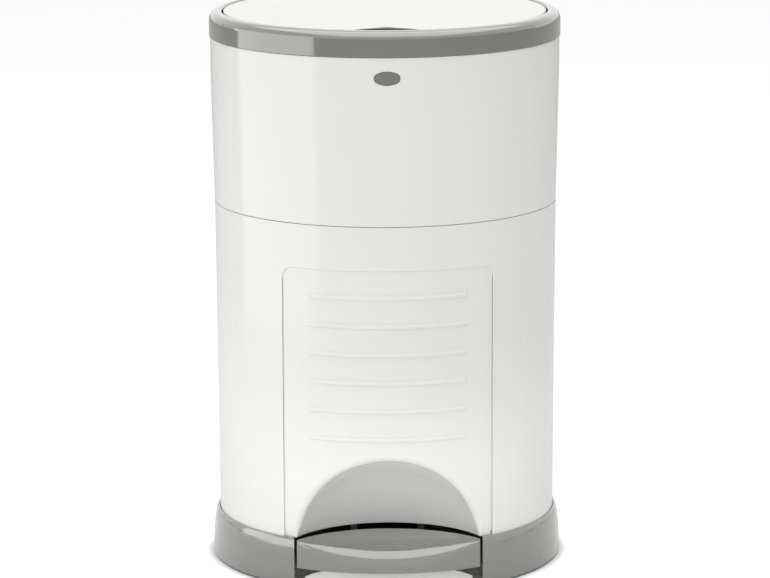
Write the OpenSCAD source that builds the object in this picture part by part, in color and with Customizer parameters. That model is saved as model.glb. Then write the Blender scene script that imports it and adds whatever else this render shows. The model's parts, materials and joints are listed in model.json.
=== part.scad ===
// Pedal nappy bin: a lower bin on a grey base with a foot pedal, and an upper unit that tips back.
// Millimetres, +Z up, front towards -Y. The origin is on the floor, on the axis of the round body.

/* [Body] */
// Outer radius of the white body where it enters the base ring
body_base_radius = 135.4; // [120:0.2:150]
// Growth of that radius from the base ring up to the seam
lower_taper = 1.4; // [0.4:0.1:2.4]
// Growth of the radius from the seam up to the top ring
upper_taper = 2.2; // [1:0.1:3.6]
// Height of the seam between the two halves
seam_height = 290.6; // [270:0.2:310]
// Thickness of the moulded walls
wall = 2.6; // [2:0.1:3.2]
// Height of the underside of the bin floor
floor_height = 40; // [39.5:0.5:44]

/* [Front panel] */
// Half width of the recessed front panel
panel_half_width = 82; // [75:1:90]
// Height of the top of the panel
panel_top = 256; // [248:1:264]
// Depth of the recess
panel_depth = 1.5; // [0.8:0.1:1.8]
// Radius of the upper corners of the panel
panel_corner = 9; // [4:1:14]
// Number of thin ribs on the panel
rib_count = 6; // [3:1:6]
// Distance from one rib to the next
rib_pitch = 22.5; // [18:0.5:23]
// Height of the top rib
rib_top_height = 234.4; // [230:0.2:240]
// Half width of each rib
rib_half_width = 61.5; // [50:0.5:70]
// Thickness of each rib
rib_thickness = 3.4; // [1.6:0.2:5]
// How far each rib stands out of the recessed panel
rib_proud = 1.4; // [0.8:0.1:2]

/* [Foot scoop] */
// Radius of the hollow that makes room for the foot
scoop_radius = 82.2; // [78:0.2:84]
// Distance of the centre of the hollow in front of the body
scoop_ahead = 14; // [12:1:18]
// Height of the centre of the hollow
scoop_height = 24; // [18:1:30]

/* [Base] */
// How far the base ring stands out beyond the body at the floor
base_flare = 5.2; // [4.6:0.1:8]
// Height of the top edge of the base ring
base_ring_top = 38.6; // [37:0.2:39.2]
// Thickness of the rubber feet below the base ring
foot_height = 1.5; // [1:0.1:2]
// Thickness of the base plate
plate_thickness = 2.5; // [2:0.1:2.8]
// Radius of each rubber foot
foot_radius = 9; // [6:0.5:11]

/* [Pedal] */
// Half width of the pedal
pedal_half_width = 72; // [64:0.5:73]
// Clearance on each side of the pedal
pedal_side_gap = 2.1; // [1:0.1:3]
// Height of the underside of the pedal
pedal_bottom = 16; // [16:0.2:19]
// Height of the flat part of the pedal's top
pedal_top = 38; // [36.5:0.1:38]
// Radius of the curve at the pedal's front
pedal_curve = 45.7; // [42:0.1:60]
// Distance of the pivot in front of the axis
pivot_forward = 27; // [26:0.5:29]
// Height of the pivot
pivot_height = 20; // [19:0.2:21]

/* [Linkage] */
// Distance of the push rods in from the body's radius
rod_inset = 22; // [21.6:0.2:23]
// Lift of the rods' top at the lid for each radian that the lid turns
lift_radius = 10; // [9.6:0.1:10.2]
// Angle at which the lid stands open
lid_angle = 80; // [60:1:80]
// Width of the push rods
rod_width = 10; // [8:0.5:12]
// Thickness of the push rods
rod_thickness = 5; // [4:0.2:5.4]

/* [Top ring] */
// How far the top ring stands out beyond the body
ring_overhang = 0.8; // [0.5:0.1:2]
// Height of the lower edge of the top ring
ring_bottom = 422.5; // [420:0.5:423]
// Height of the ring itself
ring_height = 20.1; // [19.5:0.1:20.9]
// Radius of the rounded outer edge of the ring
ring_round = 6; // [3:0.5:7]
// Width of the ring's flat and rounded top
ring_width = 10.4; // [10:0.1:10.7]

/* [Lid] */
// Gap round the lid inside the ring
lid_gap = 1.1; // [0.9:0.1:2.5]
// Depth of the lid's edge below the top of the ring
lid_sink = 0.6; // [0.2:0.1:1]
// Rise of the lid's middle above its edge
lid_crown = 4; // [2:0.5:6]
// Thickness of the lid's top
lid_thickness = 2.5; // [2:0.1:2.8]
// Depth of the finger notch in the lid's front edge
notch_depth = 11.6; // [8:0.2:12]
// Half width of the finger notch
notch_half_width = 28; // [24:1:32]

/* [Release button] */
// Distance of the middle of the button below the ring
button_drop = 16.2; // [14.5:0.1:22]
// Half width of the button
button_half_width = 9.8; // [8:0.1:12]
// Half height of the button
button_half_height = 5.15; // [4.6:0.05:6.5]
// Travel of the button
button_travel = 3; // [1.5:0.1:3]

/* [Odour trap] */
// Inner radius of the throat
throat_radius = 60; // [54:0.5:62]
// Distance of the lower end of the throat below the ring
throat_drop = 36; // [32.5:0.5:38.5]

/* [Hidden] */
$fn = 96;
fine = 180;
tiny = 0.01;
seat_gap = 0.1;
clear_gap = 0.3;
running_gap = 0.05;
tall = 600;
wide = 400;

// Radii and heights that follow from the sizes above
seam_radius = body_base_radius + lower_taper;
body_top_radius = seam_radius + upper_taper;
base_radius = body_base_radius + base_flare;
ring_radius = body_top_radius + ring_overhang;
ring_bore = ring_radius - ring_width;
lid_radius = ring_bore - lid_gap;
ring_top = ring_bottom + ring_height;
lid_edge_height = ring_top - lid_sink;
button_height = ring_bottom - button_drop;
throat_bottom = ring_bottom - throat_drop;
scoop_forward = body_base_radius + scoop_ahead;
rod_back = body_base_radius - rod_inset;

plate_bottom = foot_height;
plate_top = foot_height + plate_thickness;
notch_side = pedal_half_width + pedal_side_gap;
floor_top = floor_height + wall;
lower_top = seam_height - 0.2;
upper_bottom = seam_height + 0.2;
straight_from = ring_bottom - 24;
collar_step = ring_bottom - 0.3;
collar_top = ring_bottom + 7.5;
collar_radius = body_top_radius - 2.1;

// Foot scoop and the room for the pedal below it
scoop_lip = base_ring_top;
plate_arc_radius = 83;
plate_arc_forward = body_base_radius + 8;
pedal_arc_radius = 96;
pedal_arc_forward = body_base_radius + 45.6;
pedal_radius = base_radius - 0.1;
pedal_curve_from = body_base_radius - 23.4;
pedal_skin = 2.2;
lever_plate_end = pedal_curve_from - 11;
lever_screw_back = pedal_curve_from - 17;
lever_screw_side = 18;
web_back = pivot_forward + 21;
spring_back = pivot_forward + 30;

// Lid hinge, and the involute lobe that the upper push rod lifts
lid_axis_y = rod_back + lift_radius;
lid_axis_z = lid_edge_height - 3.6;
lid_knuckle = 3.6;
lid_pin_radius = 1.5;
lid_radians = lid_angle * PI / 180;
rod_lift = lift_radius * lid_radians;
rod_top = lid_axis_z - rod_lift - clear_gap;
lobe_half_width = 6;
ear_inner = 15;
ear_outer = 20;
knuckle_outer = 36;

// Pedal lever
lever_arm = rod_back + pivot_forward;
pedal_radians = rod_lift / lever_arm;
nose_radius = 4;
nose_height = pivot_height - rod_lift / 2;
rod_bottom = nose_height + nose_radius + clear_gap;
pedal_pin_radius = 3;
lever_barrel = 7;
lever_barrel_half = 24;
lever_width = 16;

// Rear hinge between the halves
body_axis_y = seam_radius + 4.6;
body_knuckle = 4.2;
body_pin_radius = 2;
body_pin_length = 64;

// Latch
latch_back = 14.1 - body_top_radius;
latch_thickness = 3;
latch_axis_y = latch_back + latch_thickness / 2;
latch_axis_z = seam_height + 59.4;
latch_half_width = 8;
latch_pin_radius = 2;
latch_bottom = seam_height - 11.6;
strike_bottom = seam_height - 6.6;
latch_room = latch_half_width + 8;
strike_height = 4;

// Funnel and trap
deck_top = ring_bottom + 5.5;
deck_thickness = 2.5;
funnel_rim = ring_bore - 23.2;
funnel_rim_top = deck_top + 1;
funnel_mouth = funnel_rim - 8.3;
flap_pin_radius = 1.5;
flap_knuckle = 2.5;
flap_thickness = 2;
flap_axis_x = throat_radius - 2;
flap_axis_z = throat_bottom - 3.5;
flap_knuckle_half = 19.7;
flap_pin_half = 24;

// Liner cartridge
tray_top = seam_height + 48.4;
tray_thickness = 2.6;
tray_radius = body_top_radius - 9.1;
tray_bore = throat_radius + 24;
cartridge_inner = tray_bore + 2.5;
cartridge_outer = rod_back - 10;
cartridge_height = 38;
cutter_inner = tray_bore + 8;
cutter_outer = cutter_inner + 20;

// ---------- helpers ----------

// A flat outline in the Y-Z plane, made into a bar of the given width along X.
module bar_along_x(width, middle = 0) {
  translate([middle, 0, 0])
    rotate([90, 0, 90])
      linear_extrude(height = width, center = true)
        children();
}

// A rod along X through the given Y and Z.
module rod_along_x(radius, width, y, z, middle = 0) {
  translate([middle, y, z])
    rotate([0, 90, 0])
      cylinder(r = radius, h = width, center = true);
}

// A rod along Y through the given X and Z.
module rod_along_y(radius, length, x, z, middle = 0) {
  translate([x, middle, z])
    rotate([90, 0, 0])
      cylinder(r = radius, h = length, center = true);
}

// A block between two corners.
module block(low, high) {
  translate(low)
    cube([high[0] - low[0], high[1] - low[1], high[2] - low[2]]);
}

// The children on the left and on the right.
module both_sides() {
  children();
  mirror([1, 0, 0])
    children();
}

// A flat ring.
module washer(inner, outer, low, high) {
  translate([0, 0, low])
    difference() {
      cylinder(r = outer, h = high - low, $fn = fine);
      translate([0, 0, -1])
        cylinder(r = inner, h = high - low + 2, $fn = fine);
    }
}

// Outer radius of the lower body at a height.
function lower_radius(z) =
  body_base_radius + (seam_radius - body_base_radius) * (z - base_ring_top) / (seam_height - base_ring_top);

// Outer radius of the upper body at a height.
function upper_radius(z) =
  seam_radius + (body_top_radius - seam_radius) * (min(z, straight_from) - seam_height)
  / (straight_from - seam_height);

// The solid inside the lower body's outer surface, moved inwards by a depth.
module lower_cone(depth, low, high) {
  translate([0, 0, low])
    cylinder(r1 = lower_radius(low) - depth, r2 = lower_radius(high) - depth, h = high - low, $fn = fine);
}

// The outline of the panel, as a bar from the front to near the axis.
module panel_bar(grow) {
  half = panel_half_width + grow;
  top = panel_top + grow;
  corner = panel_corner + grow;
  translate([0, -60, 0])
    rotate([90, 0, 0])
      linear_extrude(height = 120) {
        translate([-half, 0])
          square([2 * half, top - corner]);
        translate([-half + corner, 0])
          square([2 * (half - corner), top]);
        translate([half - corner, top - corner])
          circle(r = corner);
        translate([corner - half, top - corner])
          circle(r = corner);
      }
}

// A coil spring standing on z = 0, swept as a round wire along a helix with flat ends.
module coil(radius, wire, height, turns) {
  sides = 8;
  steps = 14 * turns;
  rise = height - 2 * wire;
  function along(i) = wire + rise * min(max((i / steps * turns - 0.6) / (turns - 1.2), 0), 1);
  points = [for (i = [0:steps], j = [0:sides - 1])
    let (turn = 360 * turns * i / steps, around = 360 * j / sides, reach = radius + wire * cos(around))
    [reach * cos(turn), reach * sin(turn), along(i) + wire * sin(around)]];
  skin = [for (i = [0:steps - 1], j = [0:sides - 1])
    let (next = (j + 1) % sides)
    [i * sides + j, i * sides + next, (i + 1) * sides + next, (i + 1) * sides + j]];
  first = [for (j = [sides - 1:-1:0]) j];
  last = [for (j = [0:sides - 1]) steps * sides + j];
  polyhedron(points = points, faces = concat(skin, [first, last]), convexity = 2 * turns);
}

// An oval from four arcs: half width, half height.
module oval(half_width, half_height) {
  side = half_height * 0.74;
  reach = half_width - side;
  arch = (reach * reach + half_height * half_height - side * side) / (2 * (half_height - side));
  touch = reach * arch / (arch - side);
  lap = 0.02;
  intersection() {
    translate([0, half_height - arch])
      circle(r = arch, $fn = fine);
    translate([0, arch - half_height])
      circle(r = arch, $fn = fine);
    square([2 * touch, 3 * half_height], center = true);
  }
  translate([reach, 0])
    circle(r = side + lap);
  translate([-reach, 0])
    circle(r = side + lap);
}

// The oval as a bar along Y.
module oval_bar(half_width, half_height, front, back) {
  translate([0, back, button_height])
    rotate([90, 0, 0])
      linear_extrude(height = back - front)
        oval(half_width, half_height);
}

// ---------- base ----------

base_steps = 18;
base_power = 2.5;

// The base ring's outer profile: a soft shoulder from the floor up to the body.
function shoulder_height(i) = base_ring_top * sin(90 * i / base_steps);
function shoulder_radius(z) =
  body_base_radius + clear_gap
  + (base_radius - body_base_radius - clear_gap) * pow(1 - pow(z / (base_ring_top + 0.3), base_power), 1 / base_power);

module base_ring() {
  outer = [for (i = [0:base_steps]) [shoulder_radius(max(shoulder_height(i), plate_bottom)),
                                     max(shoulder_height(i), plate_bottom + i * tiny)]];
  inner = [[body_base_radius + clear_gap, base_ring_top], [body_base_radius + clear_gap, base_ring_top - 3],
           [base_radius - 3, base_ring_top - 12], [base_radius - 3, plate_bottom]];
  color([0.62, 0.62, 0.6])
    difference() {
      rotate_extrude($fn = fine)
        polygon(concat(outer, inner));
      block([-notch_side, -wide, -1], [notch_side, 76 - body_base_radius, tall]);
    }
}

// The places of the feet and of the screws in the base plate.
foot_ring = base_radius - 15.6;
foot_places = [for (angle = [36.87, -34], side = [1, -1])
  [side * foot_ring * cos(angle), foot_ring * sin(angle)]];
screw_ring = body_base_radius - 22.8;
screw_places = [for (angle = [58, -9], side = [1, -1])
  [side * screw_ring * cos(angle), screw_ring * sin(angle)]];

module base_plate() {
  ear_in = lever_barrel_half + 0.5;
  ear_thick = 5.5;
  color([0.8, 0.8, 0.78])
    difference() {
      union() {
        difference() {
          translate([0, 0, plate_bottom])
            cylinder(r = base_radius - 3.1, h = plate_thickness, $fn = fine);
          block([-pedal_half_width, -wide, 0], [pedal_half_width, -web_back, tall]);
        }
        // The tongue below the pedal, and the web that joins it to the plate.
        intersection() {
          translate([0, 0, plate_bottom])
            cylinder(r = base_radius - 0.1, h = plate_thickness, $fn = fine);
          translate([0, -plate_arc_forward, plate_bottom])
            cylinder(r = plate_arc_radius, h = plate_thickness, $fn = fine);
          block([-notch_side + 0.1, -wide, 0], [notch_side - 0.1, 0, tall]);
        }
        block([-20, plate_arc_radius - plate_arc_forward - 3, plate_bottom], [20, 2 - web_back, plate_top]);
        pedal_riser();
        // The ears that hold the pedal's pin.
        both_sides() {
          rod_along_x(8, ear_thick, -pivot_forward, pivot_height, ear_in + ear_thick / 2);
          block([ear_in, -pivot_forward - 8, plate_top - 1], [ear_in + ear_thick, 8 - pivot_forward, pivot_height]);
        }
        // The seat of the pedal's spring.
        translate([0, -spring_back, plate_top - 1])
          cylinder(r = 4.2, h = 4);
      }
      rod_along_x(pedal_pin_radius + running_gap, wide, -pivot_forward, pivot_height);
      for (place = foot_places)
        translate([place[0], place[1], 0])
          cylinder(r = 3.1, h = 20);
      for (place = screw_places) {
        translate([place[0], place[1], 0])
          cylinder(r = 2.2, h = 20);
        translate([place[0], place[1], 0])
          cylinder(r = 4.1, h = plate_bottom + 1.6);
      }
    }
}

// The wall that closes the room below the pedal: it stands inside the pedal's front, with sloping ends.
module pedal_riser() {
  high = 15.8 - plate_top;
  flat = 34;
  arch = 60;
  crest = 17.6 - plate_top;
  reach = 66;
  intersection() {
    washer(pedal_radius - pedal_skin - 3.8, pedal_radius - pedal_skin - 1.6, plate_bottom, tall);
    translate([0, 0, plate_top - tiny])
      rotate([90, 0, 0])
        linear_extrude(height = wide)
          intersection() {
            translate([-reach, 0])
              square([2 * reach, high]);
            union() {
              translate([-flat, 0])
                square([2 * flat, high]);
              translate([flat, crest - arch])
                circle(r = arch, $fn = fine);
              translate([-flat, crest - arch])
                circle(r = arch, $fn = fine);
            }
          }
  }
}

module rubber_feet() {
  color([0.15, 0.15, 0.15])
    for (place = foot_places)
      translate([place[0], place[1], 0]) {
        cylinder(r = foot_radius, h = foot_height);
        cylinder(r = 3, h = plate_top - seat_gap);
      }
}

module base_screws() {
  color([0.6, 0.6, 0.62])
    for (place = screw_places)
      translate([place[0], place[1], plate_bottom + 0.1]) {
        cylinder(r = 3.9, h = 1.5);
        cylinder(r = 2, h = 16);
      }
}

// ---------- lower bin ----------

// The channel that keeps the rod apart from the film, up the inside of the rear wall.
module rod_channel(low, high, reach, guides) {
  half = rod_width / 2 + 0.4;
  front = rod_back - rod_thickness / 2 - 0.6;
  skin = 2.5;
  difference() {
    block([-half - skin, front - skin, low], [half + skin, reach, high]);
    block([-half, front, low - 1], [half, reach + 1, high + 1]);
  }
  for (z = guides)
    difference() {
      block([-half - 1, front - 1, z], [half + 1, reach, z + 4]);
      rod_slot(z - 1, z + 5);
    }
}

// The running hole for a rod.
module rod_slot(low, high) {
  half = rod_width / 2 + 0.2;
  depth = rod_thickness / 2 + 0.2;
  block([-half, rod_back - depth, low], [half, rod_back + depth, high]);
}

// The knuckles of the rear hinge, with the webs that carry them.
module rear_knuckles(places, low, high) {
  for (place = places) {
    rod_along_x(body_knuckle, place[1], body_axis_y, seam_height, place[0]);
    difference() {
      block([place[0] - place[1] / 2, seam_radius - wall, low], [place[0] + place[1] / 2, body_axis_y + 2.5, high]);
      rod_along_x(body_pin_radius + running_gap, wide, body_axis_y, seam_height);
    }
  }
}

lower_knuckles = [[-26, 12], [26, 12]];
upper_knuckles = [[0, 38]];
screw_boss = 5.5;

module lower_housing() {
  inner_depth = wall;
  pad_depth = wall + panel_depth;
  color([0.93, 0.93, 0.92])
    difference() {
      union() {
        difference() {
          union() {
            difference() {
              lower_cone(0, plate_top + seat_gap, lower_top);
              // The recessed front panel.
              difference() {
                panel_bar(0);
                lower_cone(panel_depth, 1, lower_top + 5);
              }
            }
            panel_ribs();
          }
          // The hollow inside, kept one wall thick behind the panel.
          difference() {
            lower_cone(inner_depth, floor_top, lower_top + 1);
            difference() {
              panel_bar(wall);
              lower_cone(pad_depth, 1, lower_top + 5);
            }
          }
          // The room below the floor.
          lower_cone(inner_depth, 0, floor_height);
        }
        // The wall of the foot scoop.
        intersection() {
          translate([0, -scoop_forward, scoop_height])
            sphere(r = scoop_radius + wall, $fn = fine);
          lower_cone(panel_depth + 0.8, scoop_lip, lower_top - 60);
        }
        intersection() {
          lower_cone(1, floor_height, lower_top);
          rod_channel(floor_height, lower_top - 2, seam_radius, [for (part = [1:3]) part * lower_top * 0.31]);
        }
        intersection() {
          lower_cone(1, floor_height - 30, lower_top);
          for (place = screw_places)
            translate([place[0], place[1], plate_top + seat_gap])
              cylinder(r = screw_boss, h = floor_top - plate_top - seat_gap);
        }
        rear_knuckles(lower_knuckles, seam_height - 14, seam_height - 0.2);
        seal_ledge();
      }
      translate([0, -scoop_forward, scoop_height])
        sphere(r = scoop_radius, $fn = fine);
      // The front wall ends above the pedal.
      block([-notch_side - 0.8, -wide, 0], [notch_side + 0.8, 74 - body_base_radius, scoop_lip]);
      rod_slot(0, floor_top + 1);
      for (place = screw_places)
        translate([place[0], place[1], 0])
          cylinder(r = 2 + running_gap, h = 20);
      rear_hinge_room(upper_knuckles, 0.4);
      rod_along_x(body_pin_radius + running_gap, wide, body_axis_y, seam_height);
    }
}

// The clearance round the knuckles of the other half.
module rear_hinge_room(places, gap) {
  for (place = places)
    rod_along_x(body_knuckle + gap, place[1] + 2 * gap, body_axis_y, seam_height, place[0]);
}

// Raised ribs that follow the curve of the panel and end bluntly on both sides.
module panel_ribs() {
  for (i = [0:rib_count - 1]) {
    z = rib_top_height - i * rib_pitch;
    translate([0, 0, z - rib_thickness / 2])
      intersection() {
        cylinder(r = lower_radius(z) - panel_depth + rib_proud, h = rib_thickness, $fn = fine);
        block([-rib_half_width, -wide, 0], [rib_half_width, 30 - body_base_radius, rib_thickness]);
      }
  }
}

// The ledge that carries the seal at the seam.
seal_inner = seam_radius - 5.8;
seal_outer = seam_radius - 3.4;
seal_gap_half = 22;
module seal_ledge() {
  low = seam_height - 6;
  difference() {
    washer(seal_inner - 0.4, seam_radius - 1, low, seam_height - 3);
    block([-seal_gap_half, -wide, low - 1], [seal_gap_half, 0, seam_height]);
  }
}

module seam_seal() {
  color([0.55, 0.55, 0.54])
    difference() {
      washer(seal_inner, seal_outer, seam_height - 3 + seat_gap, seam_height + 2.5);
      block([-seal_gap_half, -wide, 0], [seal_gap_half, 0, tall]);
    }
}

// A loop on the front of the lower bin, in which the latch catches.
module strike_plate() {
  inner = 10;
  outer = 12.6;
  bar = latch_back + latch_thickness + 0.6;
  face = seam_radius - wall - 0.2;
  back = sqrt(face * face - outer * outer) - 0.1;
  color([0.7, 0.7, 0.72])
    difference() {
      block([-outer, -back, strike_bottom - 3], [outer, bar + 3, strike_bottom + strike_height]);
      block([-inner, -back - 1, 0], [inner, bar, tall]);
    }
}

module body_hinge_pin() {
  color([0.75, 0.75, 0.77])
    rod_along_x(body_pin_radius, body_pin_length, body_axis_y, seam_height);
}

module lower_push_rod() {
  color([0.8, 0.8, 0.8])
    block([-rod_width / 2, rod_back - rod_thickness / 2, rod_bottom],
          [rod_width / 2, rod_back + rod_thickness / 2, seam_height - 0.3]);
}

// ---------- pedal ----------

// Side outline of the pedal: flat at the back, curved down at the front.
module pedal_side(drop) {
  top = pedal_top - drop;
  curve = pedal_curve - drop;
  translate([-pedal_curve_from, 0])
    square([pedal_curve_from, top]);
  intersection() {
    translate([-pedal_curve_from, pedal_top - pedal_curve])
      circle(r = curve, $fn = 360);
    translate([-pedal_curve_from - 60, 0])
      square([60 + tiny, top]);
  }
}

module pedal() {
  rear_low = 30;
  boss_low = 29.6;
  color([0.66, 0.66, 0.64])
    difference() {
      union() {
        difference() {
          intersection() {
            bar_along_x(2 * pedal_half_width)
              pedal_side(0);
            cylinder(r = pedal_radius, h = tall, $fn = fine);
          }
          translate([0, -pedal_arc_forward, -1])
            difference() {
              block([-wide, 0, 0], [wide, wide, tall]);
              translate([0, 0, -1])
                cylinder(r = pedal_arc_radius, h = tall + 3, $fn = fine);
            }
          // Room underneath, open towards the lever.
          intersection() {
            bar_along_x(2 * pedal_half_width - 2 * pedal_skin)
              pedal_side(pedal_skin);
            cylinder(r = pedal_radius - pedal_skin, h = tall, $fn = fine);
            translate([0, -pedal_arc_forward, 0])
              cylinder(r = pedal_arc_radius - pedal_skin, h = tall, $fn = fine);
          }
          bar_along_x(wide)
            polygon([[-wide, -1], [0, -1], [0, rear_low], [-pedal_curve_from, rear_low],
                     [-pedal_curve_from - 14, pedal_bottom], [-wide, pedal_bottom]]);
        }
        for (side = [-lever_screw_side, lever_screw_side])
          translate([side, -lever_screw_back, boss_low])
            cylinder(r = 5, h = pedal_top - 1 - boss_low);
      }
      for (side = [-lever_screw_side, lever_screw_side])
        translate([side, -lever_screw_back, boss_low - 1])
          cylinder(r = 1.5 + running_gap, h = 6);
    }
}

module pedal_lever() {
  plate_high = 29.5;
  plate_low = 26;
  color([0.35, 0.35, 0.36])
    difference() {
      union() {
        rod_along_x(lever_barrel, 2 * lever_barrel_half, -pivot_forward, pivot_height);
        bar_along_x(2 * lever_barrel_half)
          polygon([[-pivot_forward, pivot_height - 6], [-pivot_forward, pivot_height + 6],
                   [-pivot_forward - 23, plate_high], [-lever_plate_end, plate_high],
                   [-lever_plate_end, plate_low], [-pivot_forward - 21, plate_low]]);
        bar_along_x(lever_width)
          polygon([[-pivot_forward, pivot_height - 6], [rod_back, nose_height - nose_radius],
                   [rod_back, nose_height + nose_radius], [-pivot_forward, pivot_height + 6]]);
        rod_along_x(nose_radius, lever_width, rod_back, nose_height);
      }
      rod_along_x(pedal_pin_radius + running_gap, wide, -pivot_forward, pivot_height);
      for (side = [-lever_screw_side, lever_screw_side])
        translate([side, -lever_screw_back, 0])
          cylinder(r = 1.7, h = 40);
    }
}

module lever_screws() {
  color([0.6, 0.6, 0.62])
    for (side = [-lever_screw_side, lever_screw_side])
      translate([side, -lever_screw_back, 24.4]) {
        cylinder(r = 3.2, h = 1.5);
        cylinder(r = 1.5, h = 9);
      }
}

module pedal_pin() {
  color([0.75, 0.75, 0.77])
    rod_along_x(pedal_pin_radius, 60, -pivot_forward, pivot_height);
}

module pedal_spring() {
  color([0.7, 0.7, 0.72])
    translate([0, -spring_back, plate_top + 0.1])
      coil(5.6, 0.7, 26 - plate_top - 1.2, 5);
}

// ---------- upper unit ----------

module upper_housing() {
  low = upper_bottom;
  outline = [[upper_radius(low), low], [body_top_radius, straight_from], [body_top_radius, collar_step],
             [collar_radius, collar_step], [collar_radius, collar_top], [collar_radius - wall, collar_top],
             [collar_radius - wall, collar_step - 1], [body_top_radius - wall, collar_step - 4],
             [body_top_radius - wall, straight_from], [upper_radius(low) - wall, low]];
  ear_z = latch_axis_z;
  color([0.94, 0.94, 0.93])
    difference() {
      union() {
        rotate_extrude($fn = fine)
          polygon(outline);
        intersection() {
          upper_solid(1);
          union() {
            rod_channel(seam_height + 40, collar_step - 12, body_top_radius, [tray_top - 3, throat_bottom + 9.5]);
            // Ears for the latch's pin, and the peg of its spring.
            both_sides()
              block([latch_half_width + 0.4, -wide, ear_z - 6], [latch_half_width + 4.4, latch_back + 7, ear_z + 6]);
            rod_along_y(1.6, 8, 0, ear_z - 30, 4.1 - body_top_radius);
            // The ledge that carries the cartridge tray.
            difference() {
              washer(tray_radius - 3.5, wide, tray_top - tray_thickness - 3, tray_top - tray_thickness - seat_gap);
              block([-latch_room, -wide, 0], [latch_room, 0, tall]);
            }
          }
        }
        rear_knuckles(upper_knuckles, seam_height + 0.4, seam_height + 14);
      }
      oval_bar(button_half_width + clear_gap, button_half_height + clear_gap, -wide, latch_back + 6);
      rod_along_x(latch_pin_radius + running_gap, 60, latch_axis_y, ear_z);
      for (place = tray_screw_places)
        translate([place[0], place[1], tray_top - 8])
          cylinder(r = 1.2 + running_gap, h = 20);
      rear_hinge_room(lower_knuckles, 0.4);
      rod_along_x(body_pin_radius + running_gap, wide, body_axis_y, seam_height);
    }
}

// The solid inside the upper body's outer surface, moved inwards by a depth.
module upper_solid(depth) {
  translate([0, 0, upper_bottom])
    cylinder(r1 = upper_radius(upper_bottom) - depth, r2 = body_top_radius - depth,
             h = straight_from - upper_bottom, $fn = fine);
  translate([0, 0, straight_from])
    cylinder(r = body_top_radius - depth, h = collar_step - 6 - straight_from, $fn = fine);
}

module top_ring() {
  clamp_in = collar_radius - wall - clear_gap;
  clamp_out = collar_radius + clear_gap;
  lip = funnel_rim + clear_gap;
  straight_top = ring_top - ring_round;
  roof = collar_top + seat_gap;
  color([0.6, 0.6, 0.58])
    difference() {
      union() {
        rotate_extrude($fn = fine) {
          polygon([[clamp_out, ring_bottom], [ring_radius, ring_bottom], [ring_radius, straight_top],
                   [ring_radius - ring_round, straight_top], [ring_radius - ring_round, ring_top],
                   [ring_bore, ring_top], [ring_bore, deck_top], [lip, deck_top], [lip, deck_top - deck_thickness - 0.1],
                   [lip - 4, deck_top - deck_thickness - 0.1], [lip - 4, deck_top - 5], [lip + 3, deck_top - 5],
                   [lip + 3, deck_top - deck_thickness], [clamp_in - 2, deck_top - deck_thickness],
                   [clamp_in - 2, ring_bottom], [clamp_in, ring_bottom], [clamp_in, roof], [clamp_out, roof]]);
          intersection() {
            translate([ring_radius - ring_round, straight_top])
              circle(r = ring_round);
            translate([ring_radius - ring_round, straight_top])
              square(ring_round);
          }
        }
        // The ears of the lid's hinge.
        both_sides()
          bar_along_x(ear_outer - ear_inner, (ear_inner + ear_outer) / 2) {
            translate([lid_axis_y, lid_axis_z])
              circle(r = lid_knuckle);
            translate([lid_axis_y - lid_knuckle, deck_top - 1])
              square([2 * lid_knuckle, lid_axis_z - deck_top + 1]);
          }
      }
      // Room behind the lid's hinge for the edge that swings back.
      intersection() {
        translate([0, 0, lid_axis_z - 4])
          cylinder(r = ring_bore + 5.9, h = 20, $fn = fine);
        block([-57, lid_axis_y - 20, 0], [57, wide, tall]);
        difference() {
          translate([0, 0, -1])
            cylinder(r = wide, h = tall + 2, $fn = 12);
          translate([0, 0, -1])
            cylinder(r = ring_bore - 0.5, h = tall + 2, $fn = fine);
        }
      }
      // The hole that the push rod and the lid's lobe share.
      block([-lobe_half_width - 1.5, lip + 0.9, deck_top - 8], [lobe_half_width + 1.5, lid_axis_y - 0.5, deck_top + 1]);
      rod_along_x(lid_pin_radius + running_gap, 2 * ear_outer + 2, lid_axis_y, lid_axis_z);
    }
}

module funnel() {
  skin = 2.5;
  cone_end = throat_bottom + 15.5;
  rim_low = deck_top - deck_thickness;
  color([0.85, 0.85, 0.84])
    difference() {
      union() {
        rotate_extrude($fn = fine)
          polygon([[throat_radius, throat_bottom], [throat_radius + skin, throat_bottom],
                   [throat_radius + skin, cone_end - 1], [funnel_mouth - 1, rim_low], [funnel_rim, rim_low],
                   [funnel_rim, funnel_rim_top], [funnel_mouth, funnel_rim_top], [throat_radius, cone_end]]);
        // The ears that hold the flaps' pins.
        for (side = [-1, 1])
          for (end = [-1, 1])
            flap_ear(side, end);
      }
      for (side = [-1, 1])
        rod_along_y(flap_pin_radius + running_gap, 2 * flap_pin_half + 2, side * flap_axis_x, flap_axis_z);
    }
}

module flap_ear(side, end) {
  near = flap_knuckle_half + 0.5;
  thick = flap_pin_half - near;
  translate([side * flap_axis_x, end * (near + thick / 2), flap_axis_z])
    translate([-3, -thick / 2, -flap_knuckle - 1])
      cube([6, thick, throat_bottom - flap_axis_z + flap_knuckle + 2]);
}

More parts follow.
